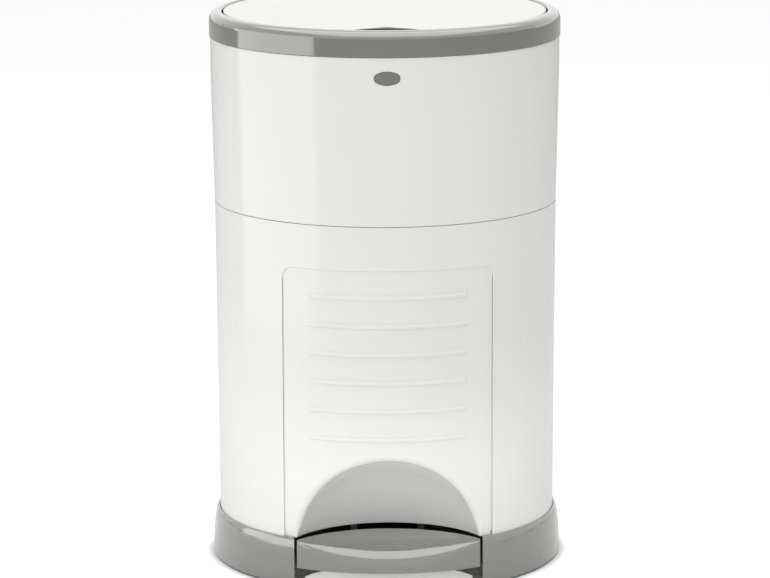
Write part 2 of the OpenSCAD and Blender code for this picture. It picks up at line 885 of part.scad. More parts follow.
module flap(side) {
  high = throat_bottom - 0.5;
  low = high - flap_thickness;
  inner_edge = 0.3;
  difference() {
    union() {
      intersection() {
        translate([0, 0, low])
          cylinder(r = throat_radius + 1, h = flap_thickness, $fn = fine);
        translate([side > 0 ? inner_edge : -flap_axis_x, -wide, 0])
          cube([flap_axis_x - inner_edge, 2 * wide, tall]);
        union() {
          translate([side > 0 ? 0 : -flap_axis_x + 6.5, -wide, 0])
            cube([flap_axis_x - 6.5, 2 * wide, tall]);
          translate([-wide, -flap_knuckle_half, 0])
            cube([2 * wide, 2 * flap_knuckle_half, tall]);
        }
      }
      difference() {
        rod_along_y(flap_knuckle, 2 * flap_knuckle_half, side * flap_axis_x, flap_axis_z);
        translate([side * flap_axis_x - 5, -5, flap_axis_z - 5])
          cube(10);
      }
      // Stiffening ribs under the flap.
      for (y = [-26, 26])
        translate([side > 0 ? 8 : -flap_axis_x + 10, y - 1, low - 3])
          cube([flap_axis_x - 18, 2, 3.5]);
    }
    rod_along_y(flap_pin_radius + running_gap, wide, side * flap_axis_x, flap_axis_z);
    translate([side * flap_axis_x - 4.4, -5, flap_axis_z - 5])
      cube([8.8, 10, 10]);
  }
}

module flap_left() {
  color([0.5, 0.5, 0.5])
    flap(-1);
}

module flap_right() {
  color([0.5, 0.5, 0.5])
    flap(1);
}

module flap_pins() {
  color([0.75, 0.75, 0.77])
    for (side = [-1, 1])
      rod_along_y(flap_pin_radius, 2 * flap_pin_half, side * flap_axis_x, flap_axis_z);
}

module flap_springs() {
  color([0.7, 0.7, 0.72])
    for (side = [-1, 1])
      translate([side * flap_axis_x, -4.4, flap_axis_z])
        rotate([-90, 0, 0])
          coil(2.2, 0.35, 8.8, 5);
}

tray_screw_ring = tray_radius - 2;
tray_screw_places = [for (angle = [45, 135, 225, 315])
  [tray_screw_ring * cos(angle), tray_screw_ring * sin(angle)]];

module cartridge_tray() {
  low = tray_top - tray_thickness;
  color([0.9, 0.9, 0.89])
    difference() {
      union() {
        washer(tray_bore, tray_radius, low, tray_top);
        washer(tray_bore, tray_bore + 2.2, low, tray_top + 20);
      }
      block([-rod_width / 2 - 4, rod_back - rod_thickness / 2 - 3.6, 0], [rod_width / 2 + 4, wide, tall]);
      block([-latch_room, -wide, 0], [latch_room, latch_back + 14, tall]);
      for (place = tray_screw_places)
        translate([place[0], place[1], low - 1])
          cylinder(r = 1.4, h = 10);
    }
}

module tray_screws() {
  color([0.6, 0.6, 0.62])
    for (place = tray_screw_places)
      translate([place[0], place[1], tray_top - 5.2]) {
        cylinder(r = 1.2, h = 5.4);
        translate([0, 0, 5.3])
          cylinder(r = 2.6, h = 1.4);
      }
}

module cartridge_case() {
  low = tray_top + seat_gap;
  high = low + cartridge_height;
  skin = 1.6;
  color([0.75, 0.82, 0.86])
    rotate_extrude($fn = fine)
      difference() {
        translate([cartridge_inner, low])
          square([cartridge_outer - cartridge_inner, cartridge_height]);
        translate([cartridge_inner + skin, low + skin])
          square([cartridge_outer - cartridge_inner - 2 * skin, cartridge_height - 2 * skin]);
        translate([cartridge_inner - 1, high - skin - 2.4])
          square([skin + 2, 2.4]);
      }
}

module film_pack() {
  low = tray_top + seat_gap;
  skin = 1.7;
  color([0.9, 0.93, 0.95])
    washer(cartridge_inner + skin, cartridge_outer - skin, low + skin, low + cartridge_height - 8);
}

// A film cutter with a recessed blade, under the tray.
module cutter_body() {
  low = tray_top - tray_thickness;
  color([0.95, 0.6, 0.3])
    difference() {
      block([-cutter_outer, -17, low - 14], [-cutter_inner, 17, low - seat_gap]);
      block([-cutter_inner - 12, -11, low - 15], [-cutter_inner - 10, 18, low - 3]);
      block([-cutter_inner - 15, -6, low - 9], [-cutter_inner - 7, 6, low - 6.5]);
    }
}

module cutter_blade() {
  low = tray_top - tray_thickness;
  color([0.8, 0.8, 0.82])
    block([-cutter_inner - 14.9, -5.9, low - 8.1], [-cutter_inner - 7.1, 5.9, low - 7.6]);
}

module upper_push_rod() {
  color([0.8, 0.8, 0.8])
    block([-rod_width / 2, rod_back - rod_thickness / 2, seam_height + 0.3],
          [rod_width / 2, rod_back + rod_thickness / 2, rod_top]);
}

// ---------- latch ----------

module release_button() {
  pad_back = latch_back - clear_gap;
  flange_front = -sqrt(pow(body_top_radius - wall, 2) - pow(button_half_width + 2, 2)) + 0.3;
  color([0.5, 0.5, 0.49])
    intersection() {
      union() {
        oval_bar(button_half_width, button_half_height, -wide, flange_front + 1);
        oval_bar(button_half_width + 2, button_half_height + 2, flange_front, flange_front + 2);
        rod_along_y(3.5, pad_back - flange_front, 0, button_height, (pad_back + flange_front) / 2);
      }
      cylinder(r = body_top_radius + 0.2, h = tall, $fn = fine);
    }
}

module latch_lever() {
  high = button_height + 5;
  nose = 0.3;
  color([0.55, 0.55, 0.55])
    difference() {
      union() {
        block([-latch_half_width, latch_back, latch_bottom], [latch_half_width, latch_back + latch_thickness, high]);
        rod_along_x(4.4, 2 * latch_half_width, latch_axis_y, latch_axis_z);
        block([-latch_half_width, latch_back, latch_bottom],
              [latch_half_width, latch_back + latch_thickness + nose, strike_bottom - 0.5]);
      }
      rod_along_x(latch_pin_radius + running_gap, 60, latch_axis_y, latch_axis_z);
    }
}

module latch_pin() {
  color([0.75, 0.75, 0.77])
    rod_along_x(latch_pin_radius, 2 * latch_half_width + 8.8, latch_axis_y, latch_axis_z);
}

module latch_spring() {
  front = 5.7 - body_top_radius;
  color([0.7, 0.7, 0.72])
    translate([0, front, latch_axis_z - 30])
      rotate([-90, 0, 0])
        coil(2.6, 0.4, latch_back - front - 0.5, 5);
}

// ---------- lid ----------

// Flat profile under the lid's crowned top, with the crown moved down by a depth.
module crown_profile(depth, radius, low) {
  curve = (lid_radius * lid_radius + lid_crown * lid_crown) / (2 * lid_crown);
  intersection() {
    translate([0, lid_edge_height + lid_crown - curve])
      circle(r = curve - depth, $fn = 2880);
    translate([0, low])
      square([radius, 30]);
  }
}

// The involute: the rod's flat top always touches it at the same distance from the hinge.
function involute(turn) =
  let (drop = rod_lift - lift_radius * turn * PI / 180)
  [lid_axis_y - lift_radius * cos(turn) + drop * sin(turn),
   lid_axis_z - lift_radius * sin(turn) - drop * cos(turn)];

lobe_steps = 16;

module lid_lobe() {
  curve = [for (i = [lobe_steps:-1:0]) involute(i * lid_angle / lobe_steps)];
  bar_along_x(2 * lobe_half_width) {
    polygon(concat(curve, [[rod_back - 2.6, lid_axis_z - rod_lift + 1.2], [rod_back - 4, lid_axis_z - rod_lift + 4],
                           [rod_back - 4, lid_axis_z + 2], [lid_axis_y, lid_axis_z + 2],
                           [lid_axis_y, lid_axis_z - lid_knuckle + 0.1]]));
    translate([lid_axis_y, lid_axis_z])
      circle(r = lid_knuckle);
  }
}

module lid_panel() {
  skirt_low = lid_edge_height - 8;
  notch_land = 0.5;
  hinge_edge = lid_axis_y - lid_knuckle - 0.5;
  notch_in = lid_radius - notch_depth;
  notch_side_y = sqrt(lid_radius * lid_radius - notch_half_width * notch_half_width);
  rise = notch_side_y - notch_in;
  notch_radius = (notch_half_width * notch_half_width + rise * rise) / (2 * rise);
  color([0.97, 0.97, 0.97])
    difference() {
      union() {
        difference() {
          rotate_extrude($fn = fine)
            difference() {
              crown_profile(0, lid_radius, skirt_low);
              crown_profile(lid_thickness, lid_radius - 2.5, skirt_low - 1);
            }
          // The straight edge in front of the hinge.
          block([-knuckle_outer - 1.5, hinge_edge, 0], [knuckle_outer + 1.5, wide, tall]);
        }
        lid_lobe();
        // Knuckles, with the bridges that join them to the lid.
        both_sides()
          bar_along_x(knuckle_outer - ear_outer - 0.3, (knuckle_outer + ear_outer + 0.3) / 2) {
            translate([lid_axis_y, lid_axis_z])
              circle(r = lid_knuckle);
            translate([hinge_edge - 1, lid_axis_z + 0.6])
              square([lid_axis_y - hinge_edge + 1, 2.4]);
          }
      }
      // The finger notch in the front edge, undercut so that a fingertip finds the lid.
      translate([0, -notch_in - notch_radius, 0]) {
        cylinder(r = notch_radius, h = tall, $fn = fine);
        translate([0, 0, skirt_low - 1])
          cylinder(r1 = notch_radius + 5, r2 = notch_radius, h = lid_edge_height - notch_land - skirt_low + 1,
                   $fn = fine);
      }
      rod_along_x(lid_pin_radius + running_gap, wide, lid_axis_y, lid_axis_z);
    }
}

module lid_hinge_pin() {
  color([0.75, 0.75, 0.77])
    rod_along_x(lid_pin_radius, 2 * knuckle_outer, lid_axis_y, lid_axis_z);
}

inner_low = funnel_rim_top + 2.5;

module lid_inner() {
  inner_radius = funnel_rim + 0.7;
  color([0.9, 0.9, 0.9])
    union() {
      translate([0, 0, inner_low])
        cylinder(r = inner_radius, h = 2.5, $fn = fine);
      intersection() {
        washer(inner_radius - 3, inner_radius, inner_low + 2, inner_low + 12);
        rotate_extrude($fn = fine)
          crown_profile(lid_thickness + 0.2, lid_radius, inner_low);
      }
    }
}

module lid_seal() {
  color([0.3, 0.3, 0.3])
    washer(funnel_mouth + 1.5, funnel_rim - 1.8, funnel_rim_top + seat_gap, inner_low - seat_gap);
}

base_ring();
base_plate();
rubber_feet();
base_screws();
lower_housing();
seam_seal();
strike_plate();
pedal_pin();
body_hinge_pin();
pedal_spring();
pedal();
pedal_lever();
lever_screws();
lower_push_rod();
upper_housing();
top_ring();
funnel();
cartridge_tray();
tray_screws();
cartridge_case();
film_pack();
cutter_body();
cutter_blade();
latch_pin();
latch_lever();
latch_spring();
release_button();
upper_push_rod();
lid_hinge_pin();
lid_panel();
lid_inner();
lid_seal();
flap_left();
flap_right();
flap_pins();
flap_springs();
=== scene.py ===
# %% [markdown]
# # Pedal nappy bin: how it looks
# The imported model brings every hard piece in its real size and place.
# This script gives those pieces the rounded edges, surfaces and light that mouldings have.
# Each piece rides the body it moves with, so the lid, pedal, button and flaps still work.

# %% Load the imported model
import json
import math

import bmesh
import bpy
from mathutils import Matrix, Vector
from mathutils.bvhtree import BVHTree
from mathutils.geometry import barycentric_transform


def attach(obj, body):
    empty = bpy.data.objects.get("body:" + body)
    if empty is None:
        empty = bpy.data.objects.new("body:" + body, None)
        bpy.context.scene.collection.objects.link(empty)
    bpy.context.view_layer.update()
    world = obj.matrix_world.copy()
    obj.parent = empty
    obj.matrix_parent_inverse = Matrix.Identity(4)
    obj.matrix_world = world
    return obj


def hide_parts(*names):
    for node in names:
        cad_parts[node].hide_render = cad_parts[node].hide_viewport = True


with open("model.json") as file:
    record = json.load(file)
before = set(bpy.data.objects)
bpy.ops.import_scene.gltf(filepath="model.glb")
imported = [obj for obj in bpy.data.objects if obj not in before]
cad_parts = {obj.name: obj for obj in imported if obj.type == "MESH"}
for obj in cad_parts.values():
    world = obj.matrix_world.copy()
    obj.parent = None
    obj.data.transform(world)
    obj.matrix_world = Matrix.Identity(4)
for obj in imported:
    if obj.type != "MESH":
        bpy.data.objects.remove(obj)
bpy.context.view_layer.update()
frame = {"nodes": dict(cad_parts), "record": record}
MM = 0.001
bodies = frame["record"]["behaviour"]["bodies"]
body_of = {node: body for body, nodes in bodies.items() for node in nodes}

# %% [markdown]
# ## Copying a moulding
# A real moulding has a few smooth walls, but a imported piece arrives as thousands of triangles.
# The triangles that lie in one plane are joined again, so that an edge can be rounded cleanly.
# A Decimate modifier could join them. It is done on the mesh here, because a face that is
# joined all round a hole can fold over itself and cover the hole.
# The first helper finds such a torn face: its triangles cover more than the face itself.

# %% Find faces that have torn
TORN_SHARE, SPECK = 0.01, 2e-9


def torn_faces(shape, unit=1.0):
    """Faces whose triangles don't cover just the face; unit is the mesh's unit in metres."""
    covered = {}
    for corners in shape.calc_loop_triangles():
        a, b, c = (corner.vert.co for corner in corners)
        face = corners[0].face
        covered[face] = covered.get(face, 0.0) + (b - a).cross(c - a).length / 2
    speck = SPECK / unit ** 2
    return [face for face, area in covered.items()
            if abs(area - face.calc_area()) > TORN_SHARE * area + speck]


print("a face may be off by", TORN_SHARE, "of its area")

# %% [markdown]
# The copy is made with its points welded. Two marks are kept on every face:
# "origin" says which face it came from, and "round" says whether it belongs to a new round.

# %% Copy a piece with its points welded
WELD = 2e-6
ROUND, OWN_SHAPE = 1, 2


def welded_copy(node):
    """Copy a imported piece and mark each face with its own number."""
    shape = bmesh.new()
    shape.from_mesh(frame["nodes"][node].data)
    shape.faces.layers.int.new("round")
    origin = shape.faces.layers.int.new("origin")
    bmesh.ops.remove_doubles(shape, verts=shape.verts, dist=WELD)
    for index, face in enumerate(shape.faces):
        face[origin] = index
    shape.edges.index_update()
    shape.faces.ensure_lookup_table()
    return shape


trial = welded_copy("release_button")
print("button: triangles", len(trial.faces), "torn", len(torn_faces(trial)))
trial.free()

# %% [markdown]
# Where joining tears a face, the copy is made again and some edges across that flat part stay,
# like the spokes of a wheel. They keep its parts simple, and no one sees them on a flat face.

# %% Join flat triangles, with spokes where a ring would tear
FLAT = math.radians(0.08)
SPOKES, JOIN_TRIES = 12, 4


def flat_region(start):
    """The faces around one face that lie in its plane."""
    region, waiting = {start}, [start]
    while waiting:
        for edge in waiting.pop().edges:
            if edge.is_manifold and edge.calc_face_angle(0) <= FLAT:
                for face in edge.link_faces:
                    if face not in region:
                        region.add(face)
                        waiting.append(face)
    return region


def dividing_edges(start, parts):
    """Edges spread evenly round the middle of a flat region."""
    region = flat_region(start)
    inner = list({e for f in region for e in f.edges if all(g in region for g in e.link_faces)})
    middle = sum((f.calc_center_median() for f in region), Vector()) / len(region)
    facing = start.normal.to_track_quat("Z", "X").inverted()
    turns = []
    for edge in inner:
        way = facing @ ((edge.verts[0].co + edge.verts[1].co) / 2 - middle)
        turns.append((math.atan2(way.y, way.x), edge.index))
    chosen = set()
    for part in range(parts):
        aim = 2 * math.pi * part / parts
        nearest = min(turns, key=lambda turn: abs(math.remainder(turn[0] - aim, 2 * math.pi)))
        chosen.add(nearest[1])
    return chosen if len(turns) > parts else {index for _, index in turns}


def joined_copy(node):
    """Copy a piece and join its flat triangles."""
    keep = set()
    for attempt in range(JOIN_TRIES):
        shape = welded_copy(node)
        edges = [e for e in shape.edges if e.index not in keep]
        bmesh.ops.dissolve_limit(shape, angle_limit=FLAT, verts=shape.verts, edges=edges)
        origin = shape.faces.layers.int["origin"]
        torn = {face[origin] for face in torn_faces(shape)}
        if not torn or attempt == JOIN_TRIES - 1:
            break
        shape.free()
        plain = welded_copy(node)
        for index in torn:
            keep |= dividing_edges(plain.faces[index], SPOKES * 2 ** attempt)
        plain.free()
    for index, face in enumerate(shape.faces):
        face[origin] = index
    if torn:
        print(node, "torn when joined", len(torn))
    return shape


trial = joined_copy("release_button")
print("button: joined faces", len(trial.faces))
trial.free()

# %% [markdown]
# ## Rounded edges
# A moulding never leaves its tool with a knife edge: every corner has a small round that
# catches a line of light. A Bevel modifier would do the same to every edge.
# The operator is used instead, because its result can be measured: where a narrow face tears,
# the edges of that face are left sharp on the next try.

# %% Round the sharp edges
SHARP = math.radians(28)
ROUND_TRIES = 6


def sharp_edges(shape):
    return [e for e in shape.edges if e.is_manifold and e.calc_face_angle(0) > SHARP]


def round_edges(shape, width, segments, edges):
    result = bmesh.ops.bevel(
        shape, geom=edges, offset=width, offset_type="OFFSET", segments=segments,
        profile=0.5, affect="EDGES", clamp_overlap=False, material=-1, loop_slide=True)
    round_layer = shape.faces.layers.int["round"]
    for face in result["faces"]:
        face[round_layer] = ROUND


def rounded_copy(node, width, wider=(), change=None):
    """Round every sharp edge, and leave the few alone that would tear a narrow face."""
    left_sharp = set()
    for attempt in range(ROUND_TRIES):
        shape = joined_copy(node)
        if change:
            change(shape)
        origin = shape.faces.layers.int["origin"]
        edges = [e for e in sharp_edges(shape)
                 if not any(f[origin] in left_sharp for f in e.link_faces)]
        for chosen, wide, steps in wider:
            some = [e for e in edges if chosen(e)]
            edges = [e for e in edges if not chosen(e)]
            round_edges(shape, wide, steps, some)
            edges = [e for e in edges if e.is_valid]
        round_edges(shape, width, 2, edges)
        torn = torn_faces(shape)
        found = {face[origin] for face in torn} - left_sharp
        if not found or attempt == ROUND_TRIES - 1:
            break
        left_sharp |= found
        shape.free()
    if torn:
        print(node, "torn faces left", len(torn))
    return shape


trial = joined_copy("release_button")
print("button: sharp edges", len(sharp_edges(trial)))
trial.free()

# %% [markdown]
# ## Even shading
# A long gloss wall shows every kink in the directions of its faces as a bent highlight.
# Auto smooth would guess those directions again. Here each corner that stays on a surface of
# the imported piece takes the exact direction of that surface, a new round takes the average of
# its neighbours, and a part with its own shape is shaded by its own faces.

# %% Shade a copy like the piece it came from
INWARDS, SAME_WAY, LEAST_LENGTH, LEAST_MIX = 0.04, 0.7, 0.5, 0.2


def exact_direction(source, tree, spot, normal):
    """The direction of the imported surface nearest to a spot, or the face's own."""
    found, flat, index, away = tree.find_nearest(spot)
    if flat.dot(normal) > SAME_WAY and away < MM:
        triangle = source.polygons[index]
        near = [source.vertices[i].co for i in triangle.vertices]
        there = [source.corner_normals[i].vector for i in triangle.loop_indices]
        exact = barycentric_transform(found, *near, *there)
        if exact.length > LEAST_LENGTH and exact.dot(normal) > SAME_WAY:
            return exact.normalized()
    return normal


def shade_like(mesh, node):
    """Set the direction of every corner of a copy."""
    source = frame["nodes"][node].data
    tree = BVHTree.FromPolygons([v.co for v in source.vertices],
                                [p.vertices for p in source.polygons])
    mark = [row.value for row in mesh.attributes["round"].data]
    own, at_point = {}, {}
    for polygon in mesh.polygons:
        if mark[polygon.index] == OWN_SHAPE:
            for point in polygon.vertices:
                own[point] = own.get(point, Vector()) + polygon.normal * polygon.area
    normals = [None] * len(mesh.loops)
    for polygon in mesh.polygons:
        for corner in polygon.loop_indices:
            point = mesh.loops[corner].vertex_index
            if mark[polygon.index] == OWN_SHAPE:
                normals[corner] = own[point].normalized()
            elif not mark[polygon.index]:
                spot = mesh.vertices[point].co.lerp(polygon.center, INWARDS)
                normal = exact_direction(source, tree, spot, polygon.normal)
                normals[corner] = normal
                at_point[point] = at_point.get(point, Vector()) + normal
    for corner, normal in enumerate(normals):
        if normal is None:
            point = mesh.loops[corner].vertex_index
            mixed = at_point.get(point)
            if mixed is None or mixed.length < LEAST_MIX:
                mixed = mesh.vertices[point].normal
            normals[corner] = mixed.normalized()
    mesh.normals_split_custom_set(normals)


def show(name, shape, body, material, nodes, like):
    """Turn a finished shape into a piece that rides its body and stands for its nodes."""
    mesh = bpy.data.meshes.new(name)
    shape.to_mesh(mesh)
    shape.free()
    for polygon in mesh.polygons:
        polygon.use_smooth = True
    shade_like(mesh, like)
    mesh.materials.append(material)
    piece = bpy.data.objects.new(name, mesh)
    bpy.context.scene.collection.objects.link(piece)
    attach(piece, body)
    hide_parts(*nodes)
    print(name, "faces", len(mesh.polygons))


print("directions count as the same within", round(math.degrees(math.acos(SAME_WAY))), "degrees")

# %% [markdown]
# ## Materials
# Every moulding has a fine grain and a slow change of tint and gloss, so that no surface is
# one flat colour. An image of plastic could be wrapped on, but it would need unwrapped
# pieces and would repeat. Two noises in the piece's own coordinates follow it when it moves.

# %% How a moulded surface is made
SLOW_SCALE, SLOW_DETAIL, FINE_DETAIL = 9, 3, 2
GRAIN_STRENGTH, GRAIN_DEPTH, TINT_SHIFT, GLOSS_SHIFT = 0.02, 0.0004, 0.02, 0.15
COAT_ROUGHNESS, COAT_INDEX = 0.06, 2.0


def new_material(name):
    material = bpy.data.materials.new(name)
    material.use_nodes = True
    return material, material.node_tree, material.node_tree.nodes["Principled BSDF"]


def plastic(name, colour, roughness, grain=900, specular=0.5, metal=0.0, coat=0.0):
    material, tree, shader = new_material(name)
    nodes, links = tree.nodes, tree.links
    place = nodes.new("ShaderNodeTexCoord")
    slow, fine = nodes.new("ShaderNodeTexNoise"), nodes.new("ShaderNodeTexNoise")
    for noise, scale, detail in ((slow, SLOW_SCALE, SLOW_DETAIL), (fine, grain, FINE_DETAIL)):
        noise.inputs["Scale"].default_value = scale
        noise.inputs["Detail"].default_value = detail
        links.new(place.outputs["Object"], noise.inputs["Vector"])
    tint = nodes.new("ShaderNodeMixRGB")
    tint.inputs["Color1"].default_value = [c * (1 - TINT_SHIFT) for c in colour] + [1]
    tint.inputs["Color2"].default_value = [min(1, c * (1 + TINT_SHIFT)) for c in colour] + [1]
    links.new(slow.outputs["Fac"], tint.inputs["Fac"])
    links.new(tint.outputs["Color"], shader.inputs["Base Color"])
    gloss = nodes.new("ShaderNodeMapRange")
    gloss.inputs["To Min"].default_value = roughness * (1 - GLOSS_SHIFT)
    gloss.inputs["To Max"].default_value = roughness * (1 + GLOSS_SHIFT)
    links.new(slow.outputs["Fac"], gloss.inputs["Value"])
    links.new(gloss.outputs["Result"], shader.inputs["Roughness"])
    bump = nodes.new("ShaderNodeBump")
    bump.inputs["Strength"].default_value = GRAIN_STRENGTH
    bump.inputs["Distance"].default_value = GRAIN_DEPTH
    links.new(fine.outputs["Fac"], bump.inputs["Height"])
    links.new(bump.outputs["Normal"], shader.inputs["Normal"])
    shader.inputs["Specular IOR Level"].default_value = specular
    shader.inputs["Metallic"].default_value = metal
    shader.inputs["Coat Weight"].default_value = coat
    shader.inputs["Coat Roughness"].default_value = COAT_ROUGHNESS
    shader.inputs["Coat IOR"].default_value = COAT_INDEX
    return material


print("gloss varies by", GLOSS_SHIFT, "either way")

# %% [markdown]
# The outside is two plastics. The white is glossy on the body, and finer and duller on the lid.
# The grey has a strong clear gloss, which is why it shows the lamps as sharp bright bands.
# Inside, each moulding has its own colour, as makers use to tell the pieces apart.

# %% Mix the colours
white = plastic("white_plastic", (0.80, 0.80, 0.785), 0.12)
lid_white = plastic("lid_plastic", (0.80, 0.80, 0.79), 0.3, specular=0.08)
grey = plastic("grey_plastic", (0.136, 0.137, 0.125), 0.13, specular=1.0, coat=1.0)
button_grey = plastic("button_plastic", (0.17, 0.17, 0.165), 0.25, specular=0.8)
plate_grey = plastic("plate_plastic", (0.70, 0.70, 0.68), 0.35)
inner_white = plastic("inner_plastic", (0.72, 0.72, 0.70), 0.35)
pale_grey = plastic("funnel_plastic", (0.62, 0.62, 0.61), 0.3)
dark_nylon = plastic("dark_nylon", (0.03, 0.03, 0.032), 0.45)
mid_nylon = plastic("grey_nylon", (0.22, 0.22, 0.22), 0.45)
pale_blue = plastic("pale_blue_plastic", (0.42, 0.60, 0.68), 0.3)
orange = plastic("orange_plastic", (0.75, 0.24, 0.04), 0.35)
film = plastic("film", (0.74, 0.80, 0.84), 0.28)
rubber = plastic("rubber", (0.02, 0.02, 0.02), 0.7)
seal_grey = plastic("seal_rubber", (0.28, 0.28, 0.27), 0.6)
steel = plastic("steel", (0.56, 0.56, 0.57), 0.28, grain=400, metal=1.0)
print("materials", len(bpy.data.materials))

# %% [markdown]
# ## Front of the lower bin
# The front carries a shallow panel with six raised ribs, and the scoop that gives the foot room
# above the pedal. In the tool, the rim of the scoop is a generous round, each rib is a bead
# with a full round on its edges, and the panel's outline is a soft step.
# A bevel wide enough for that rim crosses the ribs and the outline and tears the wall.
# So the plain front is cut out of the copy and laid out again as two grids that are wrapped on
# to the bin: one carries the ribs, the other runs from inside the scoop over its rim.

# %% Sizes of the front, in millimetres
WALL_FOOT, WALL_HEAD = (38.9, 135.4), (290.6, 136.8)
PANEL_DEPTH, PANEL_HALF, PANEL_TOP, PANEL_CORNER = 1.5, 82.0, 256.0, 9.0
SCOOP_RADIUS, SCOOP_FORWARD, SCOOP_HEIGHT, LIP = 82.2, 149.4, 24.0, 38.9
RIB_HEIGHTS = [234.4 - 22.5 * step for step in range(6)]
RIB_HALF_LENGTH, RIB_HALF_WIDTH, RIB_PROUD, RIB_ROUND = 61.5, 1.7, 1.4, 1.25
EDGE, OUTLINE_ROOM = 0.4, 0.6
FIELD_LIFT, FIELD_EASE = 0.55, 6.0
CUT = LIP + 0.7
GRID_LEVEL = 118.0
print("panel", 2 * PANEL_HALF, "wide, ribs", len(RIB_HEIGHTS), "of", 2 * RIB_HALF_LENGTH)


# %% The panel's surface
def wall_radius(z):
    share = (z - WALL_FOOT[0]) / (WALL_HEAD[0] - WALL_FOOT[0])
    return WALL_FOOT[1] + (WALL_HEAD[1] - WALL_FOOT[1]) * share


def eased(share):
    """A share from 0 to 1 that starts and ends softly."""
    share = min(max(share, 0), 1)
    return share * share * (3 - 2 * share)


def on_panel(x, z, proud=0.0):
    reach = wall_radius(z) - PANEL_DEPTH + proud + FIELD_LIFT * eased((z - CUT) / FIELD_EASE)
    return Vector((x, -math.sqrt(reach * reach - x * x), z))


def room_in_panel(x, z):
    """How far a point lies inside the panel's outline."""
    across, up = PANEL_HALF - abs(x), PANEL_TOP - z
    if across < PANEL_CORNER and up < PANEL_CORNER:
        return PANEL_CORNER - math.hypot(PANEL_CORNER - across, PANEL_CORNER - up)
    return min(across, up)


print("panel's middle at", [round(v, 1) for v in on_panel(0, GRID_LEVEL)])

# %% [markdown]
# The cut follows the panel's outline: everything inside it goes, down to just above the lip,
# while the rounded edge of the outline stays. Points are told apart by where they lie:
# on the sunk wall, on the scoop's sphere, or on the outline itself.

# %% Tell the points of the front apart
NEAR, SKIN, OVER = 0.05, 0.12, 0.02
SPHERE_ROOM, ABOVE_LIP = 0.2, 1


def depth_in_wall(point):
    return wall_radius(point.z) - math.hypot(point.x, point.y)


def on_scoop(point):
    """Whether a point lies on the scoop's sphere."""
    away = (point - Vector((0, -SCOOP_FORWARD, SCOOP_HEIGHT))).length
    return abs(away - SCOOP_RADIUS) < SPHERE_ROOM


def on_front(point):
    return point.y < 0 and NEAR < depth_in_wall(point) < PANEL_DEPTH + SKIN


def inside_outline(point, margin):
    if point.z <= LIP + margin:
        return False
    return on_scoop(point) or room_in_panel(point.x, point.z) > margin


def on_outline(point):
    high_enough = point.y < 0 and point.z > LIP + ABOVE_LIP
    return high_enough and abs(room_in_panel(point.x, point.z)) < NEAR


def to_be_cleared(point):
    margin = CUT - LIP - NEAR if on_scoop(point) else -OVER
    return (on_front(point) or on_scoop(point)) and inside_outline(point, margin)


print("cut at", CUT, "mm, just above the lip at", LIP)

# %% Clear the plain front out of a copy of the lower bin
FRONT_TRIES = 5
left_sharp = set()
for attempt in range(FRONT_TRIES):
    bin_shape = joined_copy("lower_housing")
    bmesh.ops.scale(bin_shape, vec=(1 / MM,) * 3, verts=bin_shape.verts)
    origin = bin_shape.faces.layers.int["origin"]
    edges = []
    for edge in sharp_edges(bin_shape):
        ends = [v.co for v in edge.verts]
        goes = all((on_front(p) or on_scoop(p)) and inside_outline(p, -OVER) for p in ends)
        tears = any(f[origin] in left_sharp for f in edge.link_faces)
        if not goes and (all(on_outline(p) for p in ends) or not tears):
            edges.append(edge)
    round_edges(bin_shape, EDGE, 2, edges)
    torn = {f[origin] for f in torn_faces(bin_shape, MM)} - left_sharp
    if not torn or attempt == FRONT_TRIES - 1:
        break
    left_sharp |= torn
    bin_shape.free()
print("tries", attempt + 1, "torn", len(torn))
around = bin_shape.verts[:] + bin_shape.edges[:] + bin_shape.faces[:]
bmesh.ops.bisect_plane(bin_shape, geom=around, plane_co=(0, 0, CUT), plane_no=(0, 0, 1))
plain = [f for f in bin_shape.faces
         if all(to_be_cleared(v.co) for v in f.verts) and f.calc_center_median().z > CUT]
print("front faces cleared", len(plain), "of", len(bin_shape.faces))
bmesh.ops.delete(bin_shape, geom=plain, context="FACES")

# %% [markdown]
# A rib is a low bead: flat in its middle, with a quarter round at each edge and at both ends.
# The grid has narrow rows and columns where a rib turns, and wide ones on the plain field.

# %% Rows and columns for the ribs
ROUND_ANGLES = (25, 45, 65, 90)
FIRST_COLUMN, COLUMN_STEP, COLUMNS = 2.0, 3.9, 15
SIDE_STEPS = (0.9, 2.2, 4.0, 6.5, 9.5, 12.5, 15.5)
PAST_RIB_END, PAST_RIB_EDGE, PLAIN_ROWS = 0.9, 0.7, (7, 13)
BEAD_START, CORNER_ROOM, CORNER_ANGLES = 0.01, 0.5, range(0, 91, 15)


def rib_steps(half):
    """Places across a rib at which its rounded surface is sampled."""
    turned = [half - RIB_ROUND * (1 - math.cos(math.radians(a))) for a in ROUND_ANGLES]
    return [half, half - BEAD_START] + turned


ends = rib_steps(RIB_HALF_LENGTH) + [RIB_HALF_LENGTH + PAST_RIB_END]
plain_columns = [FIRST_COLUMN + COLUMN_STEP * k for k in range(COLUMNS)]
columns = sorted({round(sign * x, 4) for sign in (-1, 1) for x in ends + plain_columns})
across_limit = PANEL_HALF - OUTLINE_ROOM
side_columns = [across_limit - k for k in SIDE_STEPS] + [across_limit]
columns = sorted(columns + side_columns + [-x for x in side_columns])
rows = [GRID_LEVEL]
for height in sorted(RIB_HEIGHTS):
    steps = rib_steps(RIB_HALF_WIDTH)
    rows += [height - RIB_HALF_WIDTH - PAST_RIB_EDGE] + [height - s for s in steps]
    rows += [height + s for s in reversed(steps)]
    rows += [height + RIB_HALF_WIDTH + PAST_RIB_EDGE] + [height + up for up in PLAIN_ROWS]
corner_low = PANEL_TOP - PANEL_CORNER
corner_turn = PANEL_CORNER - OUTLINE_ROOM
rows = [z for z in rows if z < corner_low - CORNER_ROOM]
rows += [corner_low + corner_turn * math.sin(math.radians(a)) for a in CORNER_ANGLES]
